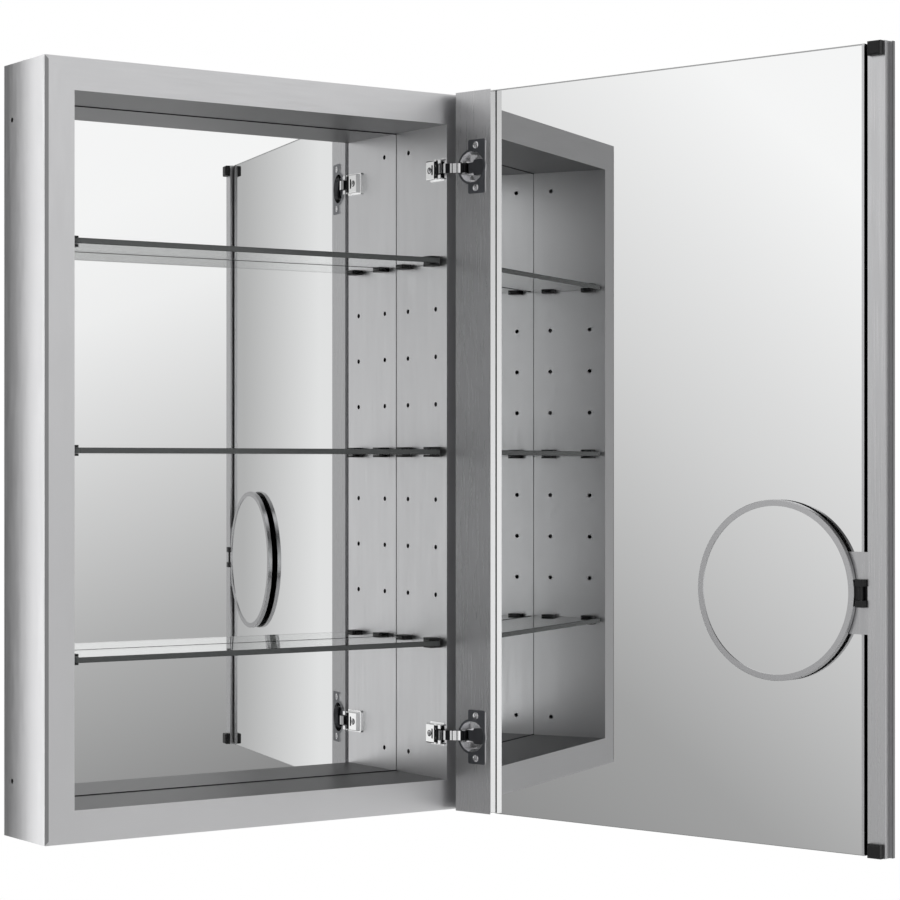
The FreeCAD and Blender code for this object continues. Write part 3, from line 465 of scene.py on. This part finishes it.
def dress_hinges():
    nickel = plated("nickel_hinge", grey(0.97), 0.09, 40.0)
    dress(nickel, *both("hinge_housing"), *both("hinge_plate"))
    cup = plated("nickel_cup_painted_wing_reflection", (0.80, 0.80, 0.81), 0.16, 40.0)
    # painted dark reflection on the hinge cups' wing plates
    dress(shade_over(cup, painted_dark_reflection_on_wing, (0.17, 0.175, 0.19), 0.32), *both("hinge_cup"))
    arm = plated("nickel_arm_painted_shade", (0.92, 0.92, 0.93), 0.12, 40.0)
    # painted shade in the gaps along the hinge arms
    dress(shade_over(arm, painted_shade_in_arm_recesses, (0.02, 0.02, 0.022), 0.4), *both("hinge_arm"))
    dress(plated("cam_zinc", (0.10, 0.10, 0.105), 0.3, 80.0, 0.06, 0.05), "hinge_cam_screws")
    dress(plated("zinc_screws", (0.78, 0.78, 0.80), 0.22, 80.0, 0.06, 0.05), "hinge_cup_screws",
          "hinge_plate_screws", "hinge_base_pins", "hinge_cup_pins", "magnifier_pin")


# ---------------------------------------------------------------- added pieces: shared
def door_place(u, v, z):
    """A point u from the door's hinge edge and v above the stile's face, at a height."""
    start = span("door_hinge_stile", ALONG_DOOR)[0]
    face = span("door_hinge_stile", DOOR_OUT)[1]
    return Vector(ALONG_DOOR) * (start + u) + Vector(DOOR_OUT) * (face + v) + Vector((0.0, 0.0, z))


def new_piece(name, points, faces, finish, body):
    mesh = bpy.data.meshes.new(name)
    mesh.from_pydata(points, [], faces)
    mesh.validate()
    mesh.update()
    piece = bpy.data.objects.new(name, mesh)
    bpy.context.collection.objects.link(piece)
    mesh.materials.append(finish)
    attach(piece, body)
    return piece


def stacked(rings):
    """Points and faces of a closed skin through rings of equal count, capped at both ends."""
    count = len(rings[0])
    points = [point for ring in rings for point in ring]
    faces = [list(range(count))[::-1]]
    for level in range(len(rings) - 1):
        low = level * count
        for i in range(count):
            j = (i + 1) % count
            faces.append([low + i, low + j, low + count + j, low + count + i])
    faces.append([(len(rings) - 1) * count + i for i in range(count)])
    return points, faces


def joined_skins(skins):
    """One list of points and faces from several closed skins."""
    points, faces = [], []
    for more_points, more_faces in skins:
        faces += [[index + len(points) for index in face] for face in more_faces]
        points += more_points
    return points, faces


# ---------------------------------------------------------------- added pieces: damper covers
COVER_FROM = 0.0188         # from the door's hinge edge
COVER_TO = 0.0335
COVER_HALF = 0.0083
COVER_ROUND = 0.0042
COVER_TOP = 0.0052          # below the stile's face, so that the closed arm passes above it
COVER_BOTTOM = 0.0088
COVER_CORNER = 0.0014       # how far the slanted corners run towards the rounded end
COVER_RIM = ((0.0006, 1.0), (0.0002, 0.975), (0.0, 0.93))       # (drop, share of the outline)
ROUND_STEPS = 6
NECK_FROM = 0.0130
NECK_HALF = 0.0056
NECK_LAP = 0.0006           # how far the neck runs into the cover


def cover_outline():
    """The damper cover seen along the door's normal: a square end and a rounded end."""
    half = [(COVER_FROM, NECK_HALF), (COVER_FROM + COVER_CORNER, COVER_HALF)]
    centre = (COVER_TO - COVER_ROUND, COVER_HALF - COVER_ROUND)
    for step in range(ROUND_STEPS + 1):
        angle = math.radians(90 - 90 / ROUND_STEPS * step)
        half.append((centre[0] + COVER_ROUND * math.cos(angle),
                     centre[1] + COVER_ROUND * math.sin(angle)))
    return half + [(u, -z) for u, z in reversed(half)]


def neck_outline():
    neck_to = COVER_FROM + NECK_LAP
    return [(NECK_FROM, -NECK_HALF), (NECK_FROM, NECK_HALF), (neck_to, NECK_HALF), (neck_to, -NECK_HALF)]


def soft_slab(outline, middle, bottom, top):
    """Points and faces of a slab over an outline in the door's face, its upper rim eased."""
    centre = (min(u for u, z in outline) + max(u for u, z in outline)) / 2
    rings = []
    for depth, share in [(bottom, 1.0)] + [(top + drop, share) for drop, share in COVER_RIM]:
        rings.append([door_place(centre + (u - centre) * share, -depth, middle + z * share)
                      for u, z in outline])
    return stacked(rings)


def add_damper_cover(side, finish):
    low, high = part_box("hinge_cup_" + side)
    middle = (low[2] + high[2]) / 2
    points, faces = joined_skins([soft_slab(outline, middle, COVER_BOTTOM, COVER_TOP)
                                  for outline in (cover_outline(), neck_outline())])
    piece = new_piece("damper_cover_" + side, points, faces, finish, "door")
    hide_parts("hinge_damper_" + side)


# ---------------------------------------------------------------- added pieces: hinge ears
EAR_FROM = 0.0006           # behind the frame's front plane
EAR_TO = 0.0052
EAR_T = 0.0011
EAR_EASE = 0.0004
EAR_GAP = 0.0058            # half the room for the arm


def add_ears(side, finish):
    """Two bent ears in front of a hinge housing, with room for the arm between them."""
    low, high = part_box("hinge_housing_" + side)
    middle = (low[2] + high[2]) / 2
    half = (high[2] - low[2]) / 2
    front = span("right_wall", ALONG_Y)[0]
    wall = span("right_wall", ALONG_X)[0]
    y0, y1 = front + EAR_FROM, front + EAR_TO
    skins = []
    for sign in (-1, 1):
        rings = []
        for rise, inset in ((0.0, 0.0), (EAR_T - EAR_EASE, 0.0), (EAR_T, EAR_EASE)):
            x = low[0] + EAR_T - rise
            z0 = middle + sign * (EAR_GAP + inset)
            z1 = middle + sign * (half - inset)
            rings.append([(x, y0 + inset, z0), (x, y1 - inset, z0), (x, y1 - inset, z1),
                          (x, y0 + inset, z1)])
        skins.append(stacked(rings))
        z0, z1 = middle + sign * (half - EAR_T), middle + sign * half
        skins.append(stacked([[(x, y0, z0), (x, y1, z0), (x, y1, z1), (x, y0, z1)]
                              for x in (low[0] + EAR_T * 0.5, wall)]))
    points, faces = joined_skins(skins)
    piece = new_piece("hinge_ears_" + side, points, faces, finish, "cabinet")


# ---------------------------------------------------------------- added pieces: screw heads
HEAD_POINTS = 48            # points around a head
HEAD_RINGS = (1.0, 0.97, 0.85, 0.7, 0.55, 0.42, 0.3, 0.18, 0.06)     # shares of its radius
HEAD_DOME = 0.00045
HEAD_SKIRT = 0.0004
HEAD_FLAT = 0.0002          # mesh points this near a screw's end belong to its end face
CROSS_HALF = 0.15           # half the recess's arm, as a share of the head's radius
CROSS_REACH = 0.72
CROSS_SLOPE = 0.25
CROSS_DEPTH = 0.0011
CAM_HEAD_R = 0.0026
CUP_HEAD_R = 0.0036
PLATE_HEAD_R = 0.0028
INTO_ROOM = (-1.0, 0.0, 0.0)        # outward from the right wall's inside


def head_height(x, y, share, radius):
    """Height of a domed head over its seat, with the cross recess taken out."""
    height = HEAD_DOME * (1 - share ** 2.2)
    if min(abs(x), abs(y)) < CROSS_HALF * radius and share < CROSS_REACH:
        height -= CROSS_DEPTH * min(1.0, (CROSS_REACH - share) / CROSS_SLOPE)
    return height


def add_screw_head(name, centre, rise, radius, finish, body):
    """A low domed head with a cross recess pressed into it."""
    rise = Vector(rise).normalized()
    across = rise.orthogonal().normalized()
    other = rise.cross(across)
    rings = []
    for share in HEAD_RINGS:
        ring = []
        for i in range(HEAD_POINTS):
            angle = 2 * math.pi * i / HEAD_POINTS
            x = radius * share * math.cos(angle)
            y = radius * share * math.sin(angle)
            height = head_height(x, y, share, radius)
            ring.append(Vector(centre) + across * x + other * y + rise * height)
        rings.append(ring)
    rings.insert(0, [point - rise * HEAD_SKIRT for point in rings[0]])
    points, faces = stacked(rings)
    piece = new_piece(name, points, faces, finish, body)


def solids_of(node):
    """Points of each of a node's separate solids, found by walking its mesh's edges."""
    mesh = nodes[node].data
    group = list(range(len(mesh.vertices)))

    def root(i):
        while group[i] != i:
            group[i] = group[group[i]]
            i = group[i]
        return i

    places = {}
    for index, vertex in enumerate(mesh.vertices):
        key = tuple(round(value, 6) for value in vertex.co)
        other = places.setdefault(key, index)
        group[root(index)] = root(other)
    for edge in mesh.edges:
        group[root(edge.vertices[0])] = root(edge.vertices[1])
    found = {}
    for index, vertex in enumerate(mesh.vertices):
        found.setdefault(root(index), []).append(vertex.co)
    return list(found.values())


def add_screw_heads(node, rise, radius, finish, body):
    """A recessed head on the outer end of each of a node's screws."""
    for number, points in enumerate(solids_of(node)):
        top = max(Vector(rise).dot(point) for point in points)
        end_face = [point for point in points if Vector(rise).dot(point) > top - HEAD_FLAT]
        centre = sum((Vector(point) for point in end_face), Vector()) / len(end_face)
        add_screw_head("%s_head_%d" % (node, number + 1), centre, rise, radius, finish, body)


# ---------------------------------------------------------------- added pieces: gaskets
GASKET_R = 0.0007           # at the back mirror's top and bottom
CORNER_R = 0.00035          # at its upright edges
STILE_SEAL_R = GASKET_R * 0.8
STILE_SEAL_OUT = GASKET_R * 0.4
STILE_SEAL_SHORT = 0.001    # the seal ends this far inside the mirror's height
BEAD_OUT = 0.3              # a bead's centre is this share of its radius out of the corner
BEAD_SMOOTHNESS = 3


def bead(name, ends, radius, finish, body):
    """A thin round gasket bead between two ends."""
    curve = bpy.data.curves.new(name, "CURVE")
    curve.dimensions = "3D"
    line = curve.splines.new("POLY")
    line.points.add(1)
    for point, end in zip(line.points, ends):
        point.co = (*end, 1.0)
    curve.bevel_depth = radius
    curve.bevel_resolution = BEAD_SMOOTHNESS
    curve.use_fill_caps = True
    curve.materials.append(finish)
    piece = bpy.data.objects.new(name, curve)
    bpy.context.collection.objects.link(piece)
    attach(piece, body)


def add_mirror_gaskets(black, pale):
    """Beads in the corners around the back mirror, thinner and paler at its upright edges."""
    clips_x = abs(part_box("shelf_clips_middle")[0][0])
    wall_x = span("right_wall", ALONG_X)[0]
    mirror_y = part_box("back_mirror")[0][1]
    top_z = span("top_wall", ALONG_Z)[0]
    corner_x = min(clips_x, wall_x)
    x = corner_x - GASKET_R * BEAD_OUT
    y = mirror_y - GASKET_R * BEAD_OUT
    z = top_z - GASKET_R * BEAD_OUT
    bead("mirror_gasket_lower", [(-x, y, -z), (x, y, -z)], GASKET_R, black, "cabinet")
    bead("mirror_gasket_upper", [(-x, y, z), (x, y, z)], GASKET_R, black, "cabinet")
    x = corner_x - CORNER_R * BEAD_OUT
    y = mirror_y - CORNER_R * BEAD_OUT
    for side, place in (("left", -x), ("right", x)):
        ends = [(place, y, GASKET_R - z), (place, y, z - GASKET_R)]
        bead("mirror_gasket_" + side, ends, CORNER_R, pale, "cabinet")


def add_stile_seal(black):
    """A seal where the hinge stile's side meets the inner door mirror."""
    edges = span("door_hinge_stile", ALONG_DOOR)
    drop = span("door_inner_mirror", DOOR_OUT)[1] - span("door_hinge_stile", DOOR_OUT)[1]
    low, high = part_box("door_inner_mirror")[0][2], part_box("door_inner_mirror")[1][2]
    u = edges[1] - edges[0] + STILE_SEAL_OUT
    ends = [door_place(u, drop, low + STILE_SEAL_SHORT), door_place(u, drop, high - STILE_SEAL_SHORT)]
    bead("stile_seal", ends, STILE_SEAL_R, black, "door")


def add_pieces():
    black = plastic("gasket_black", (0.012, 0.012, 0.013), 0.6)
    cover = plastic("damper_cover_grey", (0.058, 0.06, 0.068), 0.34)
    screw = plated("screw_chrome", (0.84, 0.84, 0.85), 0.12, 90.0)
    bright = plated("ear_nickel", (0.93, 0.93, 0.94), 0.12, 60.0)
    for side in SIDES:
        add_damper_cover(side, cover)
        add_ears(side, bright)
    add_screw_heads("hinge_cam_screws", INTO_ROOM, CAM_HEAD_R, screw, "cabinet")
    add_screw_heads("hinge_cup_screws", DOOR_OUT, CUP_HEAD_R, screw, "door")
    add_screw_heads("hinge_plate_screws", INTO_ROOM, PLATE_HEAD_R, screw, "cabinet")
    add_mirror_gaskets(black, plastic("gasket_grey", (0.24, 0.24, 0.242), 0.6))
    add_stile_seal(black)


# ---------------------------------------------------------------- studio: floor
FLOOR_BELOW = 1.2           # under the cabinet's lowest point
FLOOR_RADIUS = 4.5
FLOOR_RIM = 96              # points around it
FLOOR_CLOUDS = 1.5          # scale of its slow change of tone
FLOOR_STOPS = ((0.3, 0.80), (0.7, 0.84))
FLOOR_ROUGH = 0.9


def add_floor():
    height = cad_box[0][2] - FLOOR_BELOW
    mesh = bpy.data.meshes.new("floor")
    angles = [2 * math.pi * i / FLOOR_RIM for i in range(FLOOR_RIM)]
    rim = [(FLOOR_RADIUS * math.cos(angle), FLOOR_RADIUS * math.sin(angle), height) for angle in angles]
    mesh.from_pydata(rim, [], [list(range(FLOOR_RIM))])
    floor = bpy.data.objects.new("floor", mesh)
    bpy.context.collection.objects.link(floor)
    made, kit, surface = material("pale_floor")
    kit.link(kit.ramp(kit.noise(FLOOR_CLOUDS, 3.0), FLOOR_STOPS), surface, "Base Color")
    surface.inputs["Roughness"].default_value = FLOOR_ROUGH
    mesh.materials.append(made)


# ---------------------------------------------------------------- studio: walls
# Turns are degrees about Z. Stops are (share of the reach from bottom to top, grey level), and a
# reach is the Z of a direction. A slope tilts a wall's gradient by Z per radian of turn.
FRONT_TURN = -60.0          # what the cabinet's front looks at
FRONT_REACH = 0.4
FRONT_SLOPE = -0.37
FRONT_SLOPE_HALF = 0.1      # radians
FRONT_STOPS = (
    (0.0, 1.0), (0.24, 1.0), (0.325, 0.25), (0.43, 0.46), (0.5, 0.65),
    (0.59, 0.91), (0.64, 0.97), (0.8, 1.0), (1.0, 0.5))
SIDE_REACH = 0.5            # bright walls on both sides of the front, turns from FRONT_TURN
SIDE_STOPS = ((0.0, 0.45), (0.3, 1.0), (0.5, 1.0), (0.62, 0.7), (1.0, 0.25))
RIGHT_FADE = (8.0, 15.0)
LEFT_FADE = (-45.0, -60.0)
FAR_LEFT_FADE = (-76.0, -90.0)
LEFT_LEVEL = 0.95
RIGHT_LEVEL = 1.7
FAR_LEFT_LEVEL = 0.35
STRIP_TURN = -92.0          # what the open door's mirror sends to the back mirror
STRIP_SPAN = (-6.0, 3.0)    # turns from STRIP_TURN
STRIP_FADE = (9.0, 6.0)
STRIP_STOPS = ((0.0, 0.3), (0.44, 0.45), (0.53, 0.85), (0.57, 0.85), (0.76, 0.49), (1.0, 0.4))
BACK_TURN = 162.5           # what the open door's inner mirror looks at
BACK_REACH = 0.4
BACK_SLOPE = 0.9
BACK_SLOPE_HALF = 0.12      # radians
BACK_STOPS = ((0.0, 0.12), (0.33, 0.38), (0.5, 0.69), (0.68, 0.98), (1.0, 1.0))
BACK_FADE = 0.06            # Y of a direction, over which the front walls turn into the back wall
FLAG_TURN = 116.0           # dark flag that the cabinet's left side looks at
FLAG_FADE = (27.0, 17.0)
FLAG_LEVEL = 0.08


def turn_from(kit, direction, centre):
    """Angle in radians about Z between a direction and the bearing centre (degrees)."""
    turned = kit.add("ShaderNodeVectorRotate", {"Vector": direction, "Angle": math.radians(-centre)},
                     rotation_type="Z_AXIS").outputs[0]
    parts = kit.add("ShaderNodeSeparateXYZ", {"Vector": turned})
    return kit.math("ARCTAN2", parts.outputs["Y"], parts.outputs["X"])


def faded(kit, turn, ends, low=0.0, high=1.0):
    """A value that goes from low to high between two turns in degrees."""
    return kit.ranged(turn, math.radians(ends[0]), math.radians(ends[1]), low, high)


def wall_gradient(kit, up, turn, slope, slope_half, reach, stops):
    """A wall's grey by height, its gradient tilted over the middle of the wall."""
    height = kit.math("ADD", up, kit.math("MULTIPLY", kit.clamp(turn, slope_half), slope))
    return kit.ramp(kit.ranged(height, -reach, reach, 0.0, 1.0), stops)


def add_world():
    """Studio walls around the cabinet: grey gradients that its mirrors and metal reflect, a dark
    flag beside its left side, and plain white wherever the camera looks straight at it."""
    world = bpy.data.worlds.new("studio")
    bpy.context.scene.world = world
    world.use_nodes = True
    world.node_tree.nodes.clear()
    kit = Nodes(world.node_tree)
    direction = kit.coordinate("Generated")
    parts = kit.add("ShaderNodeSeparateXYZ", {"Vector": direction})
    up = parts.outputs["Z"]

    front_turn = turn_from(kit, direction, FRONT_TURN)
    front = wall_gradient(kit, up, front_turn, FRONT_SLOPE, FRONT_SLOPE_HALF, FRONT_REACH, FRONT_STOPS)
    on_right = faded(kit, front_turn, RIGHT_FADE)
    on_left = faded(kit, front_turn, LEFT_FADE)
    far_left = faded(kit, front_turn, FAR_LEFT_FADE, 1.0, FAR_LEFT_LEVEL)
    level = kit.math("MULTIPLY", kit.ranged(on_right, 0.0, 1.0, LEFT_LEVEL, RIGHT_LEVEL), far_left)
    side = kit.ramp(kit.ranged(up, -SIDE_REACH, SIDE_REACH, 0.0, 1.0), SIDE_STOPS)
    bright = kit.add("ShaderNodeVectorMath", {0: side, "Scale": level}, operation="SCALE").outputs[0]
    walls = kit.blend(kit.math("ADD", on_right, on_left), front, bright)

    strip_turn = turn_from(kit, direction, STRIP_TURN)
    strip = kit.ramp(faded(kit, strip_turn, STRIP_SPAN), STRIP_STOPS)
    in_strip = faded(kit, kit.math("ABSOLUTE", strip_turn), STRIP_FADE)
    walls = kit.blend(in_strip, walls, strip)

    back_turn = turn_from(kit, direction, BACK_TURN)
    back = wall_gradient(kit, up, back_turn, BACK_SLOPE, BACK_SLOPE_HALF, BACK_REACH, BACK_STOPS)
    behind = kit.ranged(parts.outputs["Y"], -BACK_FADE, BACK_FADE, 0.0, 1.0)
    walls = kit.blend(behind, walls, back)

    in_flag = faded(kit, kit.math("ABSOLUTE", turn_from(kit, direction, FLAG_TURN)), FLAG_FADE)
    room = kit.blend(in_flag, walls, grey(FLAG_LEVEL))
    seen = kit.add("ShaderNodeLightPath").outputs["Is Camera Ray"]
    colour = kit.blend(seen, room, grey(1.0))
    background = kit.add("ShaderNodeBackground", {"Color": colour, "Strength": 1.0})
    output = kit.add("ShaderNodeOutputWorld")
    kit.link(background.outputs[0], output, "Surface")


# ---------------------------------------------------------------- studio: edge light
STRIP_LIGHT_PLACE = (-0.312, 0.008, 0.0)
STRIP_LIGHT_TARGET = (-0.254, -0.10, 0.0)
STRIP_LIGHT_SIZE = (0.03, 1.6)
STRIP_LIGHT_POWER = 0.30    # W


def add_edge_light(*lit_nodes):
    """An upright strip light that reaches only these nodes, so that no mirror shows it."""
    data = bpy.data.lights.new("edge_strip", "AREA")
    data.shape = "RECTANGLE"
    data.size, data.size_y = STRIP_LIGHT_SIZE
    data.energy = STRIP_LIGHT_POWER
    lamp = bpy.data.objects.new("edge_strip", data)
    lamp.location = STRIP_LIGHT_PLACE
    aim = Vector(STRIP_LIGHT_TARGET) - Vector(STRIP_LIGHT_PLACE)
    lamp.rotation_euler = aim.to_track_quat("-Z", "Y").to_euler()
    lamp.visible_camera = False
    bpy.context.collection.objects.link(lamp)
    lit = bpy.data.collections.new("edge_strip_lit")
    for name in lit_nodes:
        lit.objects.link(nodes[name])
    lamp.light_linking.receiver_collection = lit


# ---------------------------------------------------------------- the scene
add_camera()
add_world()
add_floor()
add_edge_light("left_wall")
dress_frame()
dress_trim()
dress_glass()
dress_plastic()
dress_hinges()
add_pieces()
bpy.context.scene.view_settings.view_transform = "Standard"
